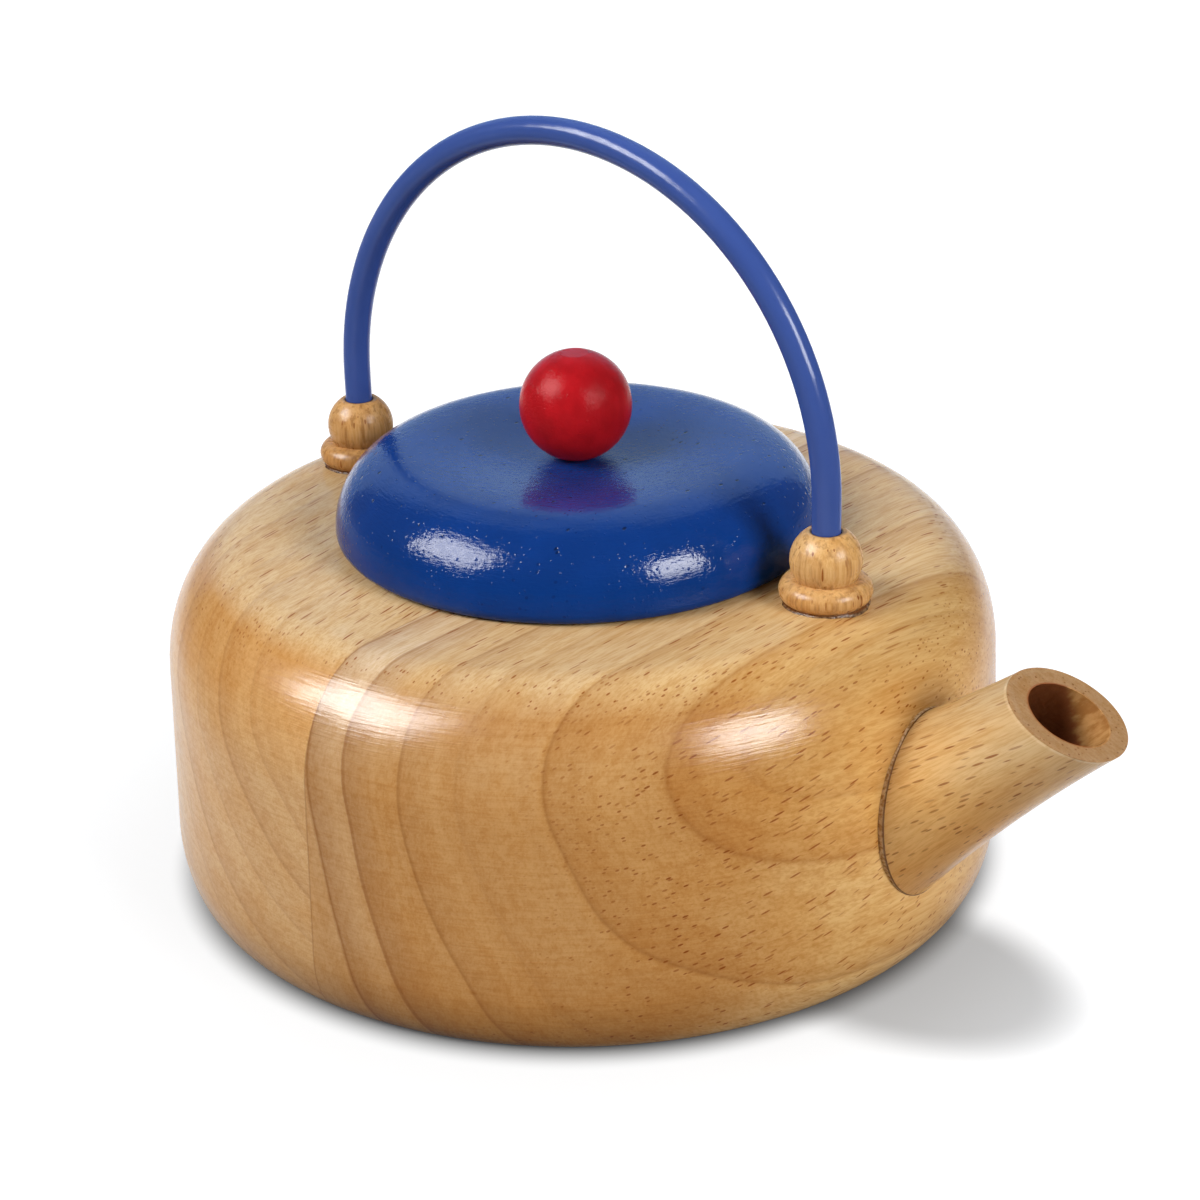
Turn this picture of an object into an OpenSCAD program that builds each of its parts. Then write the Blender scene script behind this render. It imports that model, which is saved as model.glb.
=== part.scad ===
// Toy kettle: a turned wooden body glued up from two halves, a turned spout, a sleeved wire handle
// held in two turned ferrules, and a painted lid with a ball knob that lifts out of the body.
// Millimetres. The origin is the centre of the base, +Z is up and +X points towards the spout.

/* [Body] */
// Diameter at the top of the straight side
body_d = 120; // [112:1:132]
// Height from the base to the flat top
body_h = 50.7; // [47:0.1:57]
// How much wider the radius is at the foot of the side than at its top
side_lean = 0.8; // [0:0.1:1.5]
// Width of the rounding at the top edge
shoulder_w = 13; // [10:0.5:14]
// Height of the rounding at the top edge
shoulder_h = 17; // [13:0.5:19]
// Width of the rounding at the base edge
base_round_w = 4; // [2:0.5:6]
// Height of the rounding at the base edge
base_round_h = 9; // [5:0.5:10]
// Where the glued seam between the halves lies along X
seam_x = 2.8; // [-5:0.2:5]
// Thickness of wood left under the hollow
floor_t = 11; // [7:0.5:15]

/* [Lid] */
// Lid diameter as a share of the body diameter
lid_share = 0.582; // [0.54:0.002:0.6]
// Height of the lid's crest above the body
lid_h = 12.6; // [11.6:0.1:15]
// Radius of the rounding at the lid's edge
lid_round = 10.8; // [8:0.2:11.4]
// How far the middle of the lid is dished below its crest
dish_depth = 1.7; // [0.5:0.1:3]
// How far the lid reaches over the body around the hollow
lid_ledge = 4.8; // [3:0.2:7]
// Depth of the spigot below the lid
spigot_h = 4; // [2:0.5:6]
// Play between the spigot and the hollow, on the radius
spigot_play = 0.5; // [0.3:0.1:1]

/* [Knob] */
// Diameter of the ball
knob_d = 16; // [13:0.5:20]
// Height of the flat cut off the ball where it sits on the lid
knob_flat = 0.3; // [0.2:0.1:0.8]
// Diameter of the dowel through the ball
dowel_d = 4; // [3:0.5:6]
// How deep the dowel goes into the lid
dowel_seat = 8; // [5:0.5:10]

/* [Spout] */
// Angle of the spout's axis above the level
spout_rise = 40.5; // [34:0.5:46]
// Height at which the axis meets the body's side
spout_z = 27; // [25:0.5:29]
// Length along the axis from the body's side to the mouth
spout_len = 27.6; // [22:0.2:34]
// Outside diameter at the mouth
mouth_d = 15.5; // [14:0.5:18]
// Outside diameter where the axis meets the body's side
foot_d = 20.6; // [19:0.2:23]
// Angle of the line square to the mouth's face above the level
mouth_face = 65; // [50:1:75]
// Diameter of the bore
bore_d = 10.4; // [8:0.2:11]
// Wood left between the end of the bore and the flat foot
bore_floor = 1.8; // [1:0.1:6]
// Diameter of the tenon glued into the body
tenon_d = 12; // [8:0.5:14]
// Length of the tenon inside the body
tenon_len = 10; // [6:0.5:14]

/* [Handle] */
// Outside diameter of the plastic sleeve
sleeve_d = 4; // [3.6:0.1:5]
// Diameter of the wire inside the sleeve
wire_d = 2.4; // [2:0.1:2.8]
// Height of the arch's centre above the body's top
leg_h = 14.3; // [12:0.1:24]
// How deep each end of the wire goes into the body
wire_seat = 12; // [8:0.5:18]

/* [Ferrules] */
// Diameter of the flange
flange_d = 12.8; // [11:0.2:14]
// Thickness of the flange
flange_h = 3.5; // [2.5:0.1:4.5]
// Diameter of the bead above the flange
bead_d = 9.9; // [9:0.1:11]
// Height of the bead's centre above the body
bead_z = 6; // [5:0.1:7]
// Gap between the lid and the flanges
lid_gap = 2; // [1:0.1:3]

/* [Hidden] */
body_r = body_d / 2;
base_r = body_r + side_lean;
side_top = body_h - shoulder_h;
side_angle = atan(side_lean / (side_top - base_round_h));
lid_r = lid_share * body_r;
hollow_r = lid_r - lid_ledge;
spigot_r = hollow_r - spigot_play;
crest_r = lid_r - lid_round;
lid_edge_h = lid_h - lid_round;
seat_h = lid_h - dish_depth;
handle_r = lid_r + lid_gap + flange_d / 2;
arch_z = body_h + leg_h;
knob_r = knob_d / 2;
knob_z = body_h + seat_h + knob_r - knob_flat;
spout_x = side_radius(spout_z);
flare_lead = 10;
flare_r = (spout_len * spout_len + 2 * spout_len * flare_lead) / (foot_d - mouth_d);
throat_r = mouth_d / 2 - flare_lead * flare_lead / (2 * flare_r);
bore_start = (bore_d / 2 * sin(spout_rise) + bore_floor) / cos(spout_rise);
sleeve_fit = 0.1;
glue_fit = 0.05;
sleeve_end = flange_h - 0.5;
bead_top = bead_z + 0.83 * bead_d / 2;
seat_r = 3.5;
through = 1;
reach = 2 * body_d;
wood = [0.84, 0.65, 0.4];
paint_blue = [0.05, 0.18, 0.55];
paint_red = [0.72, 0.06, 0.08];
plastic_blue = [0.2, 0.27, 0.68];
steel = [0.7, 0.7, 0.72];

// Radius of the body's straight side at height z
function side_radius(z) = body_r + (side_top - z) * tan(side_angle);

// Radius of the spout's outside at distance u along its axis from the body's side
function spout_radius(u) = throat_r + pow(spout_len + flare_lead - u, 2) / (2 * flare_r);

// Height of the lid's dished top at radius r, level at the knob's seat and at the crest
function dish_height(r) = lid_h - dish_depth * (1 + cos(180 * (r - seat_r) / (crest_r - seat_r))) / 2;

// Points of a rounded corner about a centre, with its own width and height
function corner(centre, w, h, from, to, steps = 14) =
    [for (i = [0 : steps]) let (a = from + (to - from) * i / steps) centre + [w * cos(a), h * sin(a)]];

// The whole body before it is split at the seam
module body_solid() {
    outline = concat(
        [[0, 0]],
        corner([base_r - base_round_w, base_round_h], base_round_w, base_round_h, -90, 0),
        corner([body_r - shoulder_w, side_top], shoulder_w, shoulder_h, 0, 90),
        [[0, body_h]]);
    difference() {
        rotate_extrude() polygon(outline);
        translate([0, 0, floor_t]) cylinder(r = hollow_r, h = body_h);
        for (side = [-1, 1])
            translate([side * handle_r, 0, body_h - wire_seat])
                cylinder(d = wire_d + 2 * glue_fit, h = wire_seat + through);
        spout_frame() translate([0, 0, -tenon_len]) cylinder(d = tenon_d + 2 * glue_fit, h = 2 * tenon_len);
    }
}

// Puts the spout's axis on +Z, with z = 0 where the axis meets the body's side
module spout_frame() {
    translate([spout_x, 0, spout_z]) rotate([0, 90 - spout_rise, 0]) children();
}

module body_front_half() {
    color(wood) intersection() {
        body_solid();
        translate([seam_x, -reach / 2, -through]) cube(reach);
    }
}

module body_rear_half() {
    color(wood) difference() {
        body_solid();
        translate([seam_x, -reach / 2, -through]) cube(reach);
    }
}

// The flared outside, squared off by the body's side and by the slanting mouth
module spout_shell() {
    low = -foot_d;
    high = spout_len + mouth_d / 2;
    steps = 14;
    outline = concat(
        [[0, low]],
        [for (i = [0 : steps]) let (u = low + (high - low) * i / steps) [spout_radius(u), u]],
        [[0, high]]);
    difference() {
        spout_frame() rotate_extrude() polygon(outline);
        translate([spout_x, 0, spout_z]) rotate([0, -side_angle, 0])
            translate([-reach, -reach / 2, -reach / 2]) cube(reach);
        spout_frame() translate([0, 0, spout_len]) rotate([0, spout_rise - mouth_face, 0])
            translate([-reach / 2, -reach / 2, 0]) cube(reach);
    }
}

module spout() {
    color(wood) difference() {
        union() {
            spout_shell();
            spout_frame() translate([0, 0, -tenon_len]) cylinder(d = tenon_d, h = tenon_len + through);
        }
        spout_frame() translate([0, 0, bore_start]) cylinder(d = bore_d, h = spout_len);
    }
}

// One turned ferrule standing on the body's top, drilled for the sleeve above and the wire below
module ferrule() {
    color(wood) difference() {
        union() {
            cylinder(d = flange_d - flange_h, h = flange_h);
            translate([0, 0, flange_h / 2]) rotate_extrude()
                translate([(flange_d - flange_h) / 2, 0]) circle(d = flange_h);
            intersection() {
                translate([0, 0, bead_z]) sphere(d = bead_d);
                cylinder(d = flange_d, h = bead_top);
            }
        }
        translate([0, 0, sleeve_end]) cylinder(d = sleeve_d + 2 * sleeve_fit, h = bead_top);
        translate([0, 0, -through]) cylinder(d = wire_d + 2 * glue_fit, h = flange_h + through);
    }
}

module front_ferrule() {
    translate([handle_r, 0, body_h]) ferrule();
}

module rear_ferrule() {
    translate([-handle_r, 0, body_h]) ferrule();
}

// A rod of diameter d bent to the handle's line, with legs that reach down to height z
module handle_rod(d, z) {
    translate([0, 0, arch_z]) rotate([90, 0, 0]) rotate_extrude(angle = 180) translate([handle_r, 0]) circle(d = d);
    for (side = [-1, 1])
        translate([side * handle_r, 0, z]) cylinder(d = d, h = arch_z - z);
}

module handle_wire() {
    color(steel) handle_rod(wire_d, body_h - wire_seat);
}

module handle_sleeve() {
    color(plastic_blue) difference() {
        handle_rod(sleeve_d, body_h + sleeve_end);
        handle_rod(wire_d + 2 * glue_fit, body_h + sleeve_end - through);
    }
}

module lid() {
    steps = 16;
    outline = concat(
        [[0, -spigot_h], [spigot_r, -spigot_h], [spigot_r, 0]],
        corner([lid_r - lid_edge_h, lid_edge_h], lid_edge_h, lid_edge_h, -90, 0, 4),
        corner([crest_r, lid_edge_h], lid_round, lid_round, 0, 90),
        [for (i = [1 : steps]) let (r = crest_r + (seat_r - crest_r) * i / steps) [r, dish_height(r)]],
        [[0, seat_h]]);
    color(paint_blue) translate([0, 0, body_h]) difference() {
        rotate_extrude() polygon(outline);
        translate([0, 0, seat_h - dowel_seat]) cylinder(d = dowel_d + 2 * glue_fit, h = dowel_seat + through);
    }
}

module knob() {
    color(paint_red) difference() {
        translate([0, 0, knob_z]) sphere(r = knob_r);
        translate([-knob_r, -knob_r, body_h + seat_h - knob_d]) cube(knob_d);
        translate([0, 0, body_h]) cylinder(d = dowel_d + 2 * glue_fit, h = reach);
    }
}

module knob_dowel() {
    end = knob_z + sqrt(pow(knob_r, 2) - pow(dowel_d / 2, 2));
    start = body_h + seat_h - dowel_seat;
    color(paint_red) translate([0, 0, start]) cylinder(d = dowel_d, h = end - start);
}

body_front_half();
body_rear_half();
spout();
front_ferrule();
rear_ferrule();
handle_wire();
handle_sleeve();
lid();
knob();
knob_dowel();
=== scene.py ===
"""Looks of the toy kettle: lacquered wood, gloss paint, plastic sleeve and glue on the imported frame.

Lengths in the named values are millimetres, and MM turns them into the frame's metres.
Only the stage's and the lamps' own sizes are written in metres.
A named fade is (low, high) or (low, high, start, end), as Shader.fade takes them.
A named cell is the size of one cell of a pattern along each axis.
"""

import math

import bmesh
import bpy
from mathutils import Euler, Matrix, Vector


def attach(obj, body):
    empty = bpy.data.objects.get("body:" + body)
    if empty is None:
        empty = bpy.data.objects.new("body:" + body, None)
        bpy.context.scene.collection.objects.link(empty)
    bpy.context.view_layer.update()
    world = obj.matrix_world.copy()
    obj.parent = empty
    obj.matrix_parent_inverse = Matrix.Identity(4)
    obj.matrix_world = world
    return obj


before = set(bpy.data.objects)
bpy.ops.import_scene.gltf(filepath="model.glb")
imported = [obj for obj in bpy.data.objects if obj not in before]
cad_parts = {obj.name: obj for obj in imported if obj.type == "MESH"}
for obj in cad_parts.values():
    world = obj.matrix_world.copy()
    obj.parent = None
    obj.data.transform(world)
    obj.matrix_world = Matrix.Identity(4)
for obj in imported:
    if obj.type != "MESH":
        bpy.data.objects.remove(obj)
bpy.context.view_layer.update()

MM = 0.001

# Sizes repeated from the solids
BODY_R = 60
BODY_H = 50.7
SIDE_LEAN = 0.8
SHOULDER_W = 13
SHOULDER_H = 17
BASE_ROUND_H = 9
SEAM_X = 2.8
SIDE_TOP = BODY_H - SHOULDER_H
SIDE_SLOPE = SIDE_LEAN / (SIDE_TOP - BASE_ROUND_H)
SPOUT_RISE = math.radians(40.5)
SPOUT_Z = 27
SPOUT_X = BODY_R + (SIDE_TOP - SPOUT_Z) * SIDE_SLOPE
SPOUT_LEN = 27.6
SPOUT_FOOT = Vector((SPOUT_X, 0, SPOUT_Z))
SPOUT_AXIS = Vector((math.cos(SPOUT_RISE), 0, math.sin(SPOUT_RISE)))
FOOT_R = 10.3
MOUTH_R = 7.75
MOUTH_RISE = math.radians(65)
MOUTH_MIDDLE = SPOUT_FOOT + SPOUT_AXIS * SPOUT_LEN
MOUTH_FACE = Vector((math.cos(MOUTH_RISE), 0, math.sin(MOUTH_RISE)))
BORE_R = 5.2
FLARE_LEAD = 10
FLARE_R = (SPOUT_LEN ** 2 + 2 * SPOUT_LEN * FLARE_LEAD) / (2 * (FOOT_R - MOUTH_R))
HANDLE_R = 43.32
SLEEVE_R = 2
FLANGE_R = 6.4
FLANGE_H = 3.5

# The photograph's view of the object
VIEW_TURN = math.radians(40.259)
VIEW_RISE = math.radians(24.533)
VIEW_ROLL = math.radians(-1.587)
VIEW_AIM = Vector((1.93, 1.85, 38.79)) * MM
VIEW_DISTANCE = 398.12 * MM
LENS = 81.86
SENSOR_WIDTH = 36
CLIP_START = 10 * MM


def view_axes():
    """The camera's right, up and backward directions."""
    level = math.cos(VIEW_RISE)
    back = Vector((math.sin(VIEW_TURN) * level, -math.cos(VIEW_TURN) * level, math.sin(VIEW_RISE)))
    right = Vector((0, 0, 1)).cross(back).normalized()
    up = back.cross(right)
    rolled_right = right * math.cos(VIEW_ROLL) + up * math.sin(VIEW_ROLL)
    rolled_up = up * math.cos(VIEW_ROLL) - right * math.sin(VIEW_ROLL)
    return rolled_right, rolled_up, back


def colour(red, green, blue):
    """A display colour of 0 to 255 a channel, as the linear colour a shader takes."""
    def linear(value):
        share = value / 255
        return share / 12.92 if share <= 0.04045 else ((share + 0.055) / 1.055) ** 2.4
    return linear(red), linear(green), linear(blue), 1


class Shader:
    """One material's node tree, with a short call for each kind of node used here."""

    def __init__(self, name):
        self.material = bpy.data.materials.new(name)
        self.material.use_nodes = True
        self.tree = self.material.node_tree
        self.surface = self.tree.nodes["Principled BSDF"]
        coordinates = self.node("ShaderNodeTexCoord").outputs
        self.place = coordinates["Object"]
        self.facing = coordinates["Normal"]

    def node(self, kind, inputs=None, **settings):
        made = self.tree.nodes.new(kind)
        for key, value in settings.items():
            setattr(made, key, value)
        for key, value in (inputs or {}).items():
            self.put(made.inputs[key], value)
        return made

    def put(self, socket, value):
        if isinstance(value, bpy.types.NodeSocket):
            self.tree.links.new(value, socket)
        else:
            socket.default_value = value

    def finish(self, **inputs):
        """Sets the shader's own sockets, named with _ for a space."""
        for key, value in inputs.items():
            self.put(self.surface.inputs[key.replace("_", " ")], value)
        return self.material

    def math(self, operation, *values):
        return self.node("ShaderNodeMath", dict(enumerate(values)), operation=operation).outputs[0]

    def times(self, first, *others):
        """The product of all the values."""
        for other in others:
            first = self.math("MULTIPLY", first, other)
        return first

    def vector(self, operation, *values):
        return self.node("ShaderNodeVectorMath", dict(enumerate(values)), operation=operation).outputs[0]

    def length(self, place):
        return self.node("ShaderNodeVectorMath", {0: place}, operation="LENGTH").outputs["Value"]

    def dot(self, place, direction):
        made = self.node("ShaderNodeVectorMath", {0: place, 1: direction}, operation="DOT_PRODUCT")
        return made.outputs["Value"]

    def axes(self, place):
        return self.node("ShaderNodeSeparateXYZ", {0: place}).outputs

    def join(self, x, y, z):
        return self.node("ShaderNodeCombineXYZ", {0: x, 1: y, 2: z}).outputs[0]

    def stretch(self, place, cell):
        """A place divided by a cell's size along each axis."""
        return self.vector("DIVIDE", place, cell)

    def millimetres(self):
        """The object's place in millimetres."""
        return self.stretch(self.place, (MM, MM, MM))

    def off_axis(self, place):
        """A place's distance from its third axis."""
        return self.length(self.vector("MULTIPLY", place, (1, 1, 0)))

    def upward(self):
        """How far the surface faces up: 1 on top, 0 on a wall and -1 below."""
        return self.axes(self.facing)[2]

    def noise(self, place, detail=2.0, roughness=0.5):
        inputs = {"Vector": place, "Scale": 1.0, "Detail": detail, "Roughness": roughness}
        return self.node("ShaderNodeTexNoise", inputs).outputs[0]

    def sway(self, place, reach):
        """A soft random offset of up to half the reach either way along each axis."""
        inputs = {"Vector": place, "Scale": 1.0, "Detail": 1.0}
        made = self.node("ShaderNodeTexNoise", inputs)
        centred = self.vector("SUBTRACT", made.outputs["Color"], (0.5, 0.5, 0.5))
        return self.vector("MULTIPLY", centred, reach)

    def cells(self, place):
        """Distance to the nearest of a scatter of points, and that point's random colour."""
        made = self.node("ShaderNodeTexVoronoi", {"Vector": place, "Scale": 1.0})
        return made.outputs["Distance"], made.outputs["Color"]

    def fade(self, value, low, high, start=0.0, end=1.0):
        """A smooth step from start to end as a value goes from low to high."""
        inputs = {"Value": value, "From Min": low, "From Max": high, "To Min": start, "To Max": end}
        return self.node("ShaderNodeMapRange", inputs, interpolation_type="SMOOTHSTEP").outputs[0]

    def ramp(self, factor, stops):
        """A colour ramp through (position, colour) stops."""
        made = self.node("ShaderNodeValToRGB", {0: factor})
        elements = made.color_ramp.elements
        for position, _ in stops[2:]:
            elements.new(position)
        for element, (position, shade) in zip(elements, stops):
            element.position = position
            element.color = shade
        return made.outputs[0]

    def mix(self, factor, first, second, blend="MIX"):
        made = self.node("ShaderNodeMix", data_type="RGBA", blend_type=blend)
        for index, value in ((0, factor), (6, first), (7, second)):
            self.put(made.inputs[index], value)
        return made.outputs[2]

    def tint(self, tone, shade, share=1.0):
        """A tone multiplied by a share of a shade."""
        return self.mix(share, tone, shade, "MULTIPLY")

    def bump(self, height, depth, under=None):
        """A normal bent by a height of 0 to 1 that stands for a depth in millimetres."""
        made = self.node("ShaderNodeBump", {"Height": height, "Strength": 1.0, "Distance": depth * MM})
        if under is not None:
            self.put(made.inputs["Normal"], under)
        return made.outputs[0]


WHITE = (1, 1, 1, 1)
BLACK = (0, 0, 0, 1)
NOISE_SPAN = (0.3, 0.7)

# All the wood: cells go across, across and along the fibres, but bands go by radius, then along
AMBER_TINT = (0.95, 0.87, 0.72, 1)
STREAK_TINT = (0.87, 0.78, 0.64, 1)
LATEWOOD_TINT = (0.5, 0.34, 0.22, 1)
BROWN = colour(133, 82, 42)
PORE_BROWN = colour(134, 64, 10)
WAVE_CELL = (16, 16, 45)
WAVE_REACH = (2.2, 2.2, 0)
CLOUD_CELL = (6, 6, 20)
CLOUD_FADE = (0.4, 0.7, 0.0, 0.7)
BAND_CELL = (1.3, 40, 1)
BAND_FADE = (0.4, 0.65, 0.0, 0.35)
STREAK_CELL = (0.9, 0.9, 22)
STREAK_FADE = (0.42, 0.66, 0.0, 0.6)
FIBRE_CELL = (0.28, 0.28, 9)
FIBRE_FADE = (0.42, 0.62)
FIBRES_ON_END_GRAIN = (0.3, 0.8, 0.75, 0.45)
LATEWOOD_SHARE = 0.92
RING_PROFILE = ((-0.5, 0.45), (-0.08, 1.0), (0.16, 0.0))
RING_MARGIN = 10
PORE_EDGE = (0.7, 1.1)
FAINTEST_PORE = 0.4
WALL_FADE = (0.55, 0.85, 1.0, 0.0)
WALL_PORE_DEPTH = (0.6, 0.9, 0.85, 0.1)
TURNING_SPACING = 0.4
MARK_DEPTH = 0.045
PORE_DIP = 0.003
SATIN_ROUGH = 0.17
UNEVEN_ROUGH = 0.06


def timber_place(shader, origin, turn, squash=1.0):
    """The object's place in millimetres of a timber's own frame, with the fibres along its third axis."""
    inputs = {
        "Vector": shader.place,
        "Location": Vector(origin) * MM,
        "Rotation": turn,
        "Scale": (MM, MM / squash, MM),
    }
    return shader.node("ShaderNodeMapping", inputs, vector_type="TEXTURE").outputs[0]


def end_grain(shader, turn):
    """How squarely the surface cuts the fibres, from 0 along them to 1 straight across."""
    fibre = Euler(turn).to_matrix() @ Vector((0, 0, 1))
    return shader.math("ABSOLUTE", shader.dot(shader.facing, fibre))


def ring_tones(shader, radius, stops):
    """A colour for each distance from the pith, blended between the given ones."""
    reach = stops[-1][0]
    shares = [(place / reach, shade) for place, shade in stops]
    return shader.ramp(shader.math("DIVIDE", radius, reach), shares)


def ring_lines(shader, radius, rings):
    """Latewood: each ring darkens slowly towards its own radius and stops sharply there."""
    reach = rings[-1][0] + RING_MARGIN
    stops = [(0.0, BLACK)]
    for ring, fade_in, strength in rings:
        for offset, share in ((-fade_in, 0.0), *RING_PROFILE):
            level = share * strength
            stops.append(((ring + offset) / reach, (level, level, level, 1)))
    return shader.ramp(shader.math("DIVIDE", radius, reach), stops)


def grain(shader, tone, place, radius, across):
    """Clouds, bands along the rings, streaks and fine fibres, laid over a tone."""
    along = shader.axes(place)[2]
    clouds = shader.noise(shader.stretch(place, CLOUD_CELL), detail=3.0)
    bands = shader.noise(shader.stretch(shader.join(radius, along, 0.0), BAND_CELL))
    streaks = shader.noise(shader.stretch(place, STREAK_CELL), detail=4.0, roughness=0.6)
    fibres = shader.noise(shader.stretch(place, FIBRE_CELL), detail=3.0, roughness=0.6)
    fibres = shader.times(shader.fade(fibres, *FIBRE_FADE), shader.fade(across, *FIBRES_ON_END_GRAIN))
    tone = shader.tint(tone, AMBER_TINT, shader.fade(clouds, *CLOUD_FADE))
    tone = shader.tint(tone, STREAK_TINT, shader.fade(bands, *BAND_FADE))
    tone = shader.tint(tone, STREAK_TINT, shader.fade(streaks, *STREAK_FADE))
    return shader.tint(tone, STREAK_TINT, fibres)


def vessels(shader, place, spacing, length, width, share):
    """Open vessels: thin spindles along the fibres, of which a share is kept and no two are alike."""
    distance, chance = shader.cells(shader.stretch(place, (spacing, spacing, length)))
    red, green, _ = shader.axes(chance)
    half = width / 2 / spacing
    start, end = PORE_EDGE
    core = shader.fade(distance, half * start, half * end, 1.0, 0.0)
    kept = shader.math("LESS_THAN", red, share)
    weight = shader.math("MULTIPLY_ADD", green, 1 - FAINTEST_PORE, FAINTEST_PORE)
    return shader.times(core, kept, weight)


def timber_pores(shader, timber, radius, across):
    """A timber's pores: their share goes by the distance from the pith, and they fade on end grain."""
    share = shader.fade(radius, *timber["pore_share"])
    place = timber_place(shader, timber["pith"], timber.get("pore_turn", timber["turn"]))
    pores = vessels(shader, place, *timber["pores"], share)
    pores = shader.times(pores, shader.fade(across, *timber["pore_depth"]))
    if "wall_turn" in timber:
        slanted = timber_place(shader, timber["pith"], timber["wall_turn"])
        smeared = vessels(shader, slanted, *timber["wall_pores"], share)
        smeared = shader.times(smeared, shader.fade(across, *WALL_PORE_DEPTH))
        pores = shader.mix(shader.fade(shader.upward(), *WALL_FADE), pores, smeared)
    return pores


def wood(name, timber):
    """A timber's shader, tone and pores, and the place in its straight frame."""
    shader = Shader(name)
    straight = timber_place(shader, timber["pith"], timber["turn"], timber["squash"])
    wave = shader.sway(shader.stretch(straight, WAVE_CELL), WAVE_REACH)
    place = shader.vector("ADD", straight, wave)
    radius = shader.off_axis(place)
    across = end_grain(shader, timber["turn"])
    tone = grain(shader, ring_tones(shader, radius, timber["tones"]), place, radius, across)
    lines = ring_lines(shader, radius, timber["rings"])
    tone = shader.tint(tone, LATEWOOD_TINT, shader.times(lines, LATEWOOD_SHARE))
    pores = timber_pores(shader, timber, radius, across)
    tone = shader.mix(pores, tone, PORE_BROWN)
    return shader, tone, pores, straight


def turning_marks(shader, breaks):
    """Fine lines left by turning around the object's own axis, with a number of breaks a radian."""
    x, y, z = shader.axes(shader.place)
    around = shader.math("ARCTAN2", y, x)
    out = shader.math("SQRT", shader.math("ADD", shader.times(x, x), shader.times(y, y)))
    per_metre = 1 / (TURNING_SPACING * MM)
    rise = shader.times(z, per_metre)
    lines = shader.join(shader.times(out, per_metre), shader.times(around, breaks), rise)
    return shader.noise(lines, detail=3.0, roughness=0.6)


def lacquer(shader, tone, pores, marks, index, rough=SATIN_ROUGH):
    """The wood's clear satin coat, dipped a little at each pore and lined by the turning marks."""
    normal = shader.bump(marks, MARK_DEPTH)
    normal = shader.bump(shader.math("SUBTRACT", 1.0, pores), PORE_DIP, normal)
    uneven = shader.fade(marks, *NOISE_SPAN, rough, rough + UNEVEN_ROUGH)
    return shader.finish(Base_Color=tone, Roughness=uneven, Normal=normal, IOR=index)


# The timbers: rings are (radius, fade in, strength), pores are (spacing, length, width)
# Side-grain walls are tinted lighter and yellower than the top: partly the wood's tone, partly painted
# light
SIDE_PAINTED_LIGHT_TINTS = ((0, (1.14, 1.06, 0.88, 1)), (0.7, (0.95, 0.96, 0.94, 1)), (0.96, WHITE))

FRONT_TIMBER = {
    "pith": (59.9, 0, 42.8),
    "turn": (math.radians(-97.8), 0, math.radians(-2.4)),
    "squash": 0.632,
    "rings": (
        (8, 3, 0.25), (13.4, 4, 0.6), (24.8, 6, 0.65), (34, 5, 0.25),
        (41, 4, 0.6), (49.1, 5, 0.95), (55.1, 4.5, 1.0),
    ),
    "tones": (
        (0, colour(212, 172, 115)), (13.3, colour(212, 172, 115)),
        (13.6, colour(213, 179, 129)), (24.6, colour(213, 179, 129)),
        (26, colour(209, 177, 132)), (44, colour(209, 177, 133)),
        (50, colour(215, 190, 158)), (72, colour(215, 190, 158)),
    ),
    "pore_turn": (math.radians(-95.5), 0, math.radians(-2.4)),
    "pores": (0.55, 12.0, 0.3),
    "pore_share": (23, 28, 0.85, 0.4),
    "pore_depth": (0.5, 0.85, 0.85, 0.15),
    "wall_turn": (math.radians(-75.5), 0, math.radians(-18)),
    "wall_pores": (0.62, 4.5, 0.31),
    "side_painted_light_tints": SIDE_PAINTED_LIGHT_TINTS,
    "end_tints": (
        (0, (0.86, 0.66, 0.44, 1)), (0.4, (0.81, 0.68, 0.54, 1)),
        (0.7, (0.76, 0.6, 0.43, 1)), (0.96, WHITE),
    ),
}

REAR_TIMBER = {
    "pith": (20, 0, 46),
    "turn": (math.radians(-97.4), 0, math.radians(7.8)),
    "squash": 1.08,
    "rings": (
        (24, 4, 0.3), (38, 5, 0.25), (45.4, 5, 0.5), (52, 5, 0.3),
        (59.7, 5, 0.45), (66, 4, 0.3), (73, 4, 0.3),
    ),
    "tones": ((0, colour(213, 182, 138)), (60, colour(216, 186, 143)), (90, colour(214, 184, 140))),
    "pore_turn": (math.radians(-94.2), 0, math.radians(7.8)),
    "pores": (0.7, 16.0, 0.34),
    "pore_share": (20, 60, 0.66, 0.6),
    "pore_depth": (0.5, 0.85, 0.85, 0.15),
    "side_painted_light_tints": SIDE_PAINTED_LIGHT_TINTS,
    "end_tints": (
        (0, (1.0, 0.88, 0.77, 1)), (0.45, (0.93, 0.73, 0.5, 1)),
        (0.8, (0.85, 0.63, 0.38, 1)), (0.97, WHITE),
    ),
}

SPOUT_TURN = math.pi / 2 - SPOUT_RISE
WALL_SLANT = 0.14

SPOUT_TIMBER = {
    "pith": tuple(SPOUT_FOOT),
    "turn": (0, SPOUT_TURN, 0),
    "squash": 1.0,
    "rings": ((14, 4, 0.2), (19, 4, 0.2)),
    "tones": (
        (0, colour(212, 170, 112)), (7.5, colour(220, 192, 150)),
        (9.5, colour(229, 184, 119)), (20, colour(236, 186, 116)),
    ),
    "pores": (0.62, 5.5, 0.32),
    "pore_share": (7, 9, 0.6, 0.8),
    "pore_depth": (0.5, 1.0, 0.85, 0.6),
    "wall_turn": (0, SPOUT_TURN + WALL_SLANT, 0),
    "wall_pores": (0.62, 5.5, 0.33),
}

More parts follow.
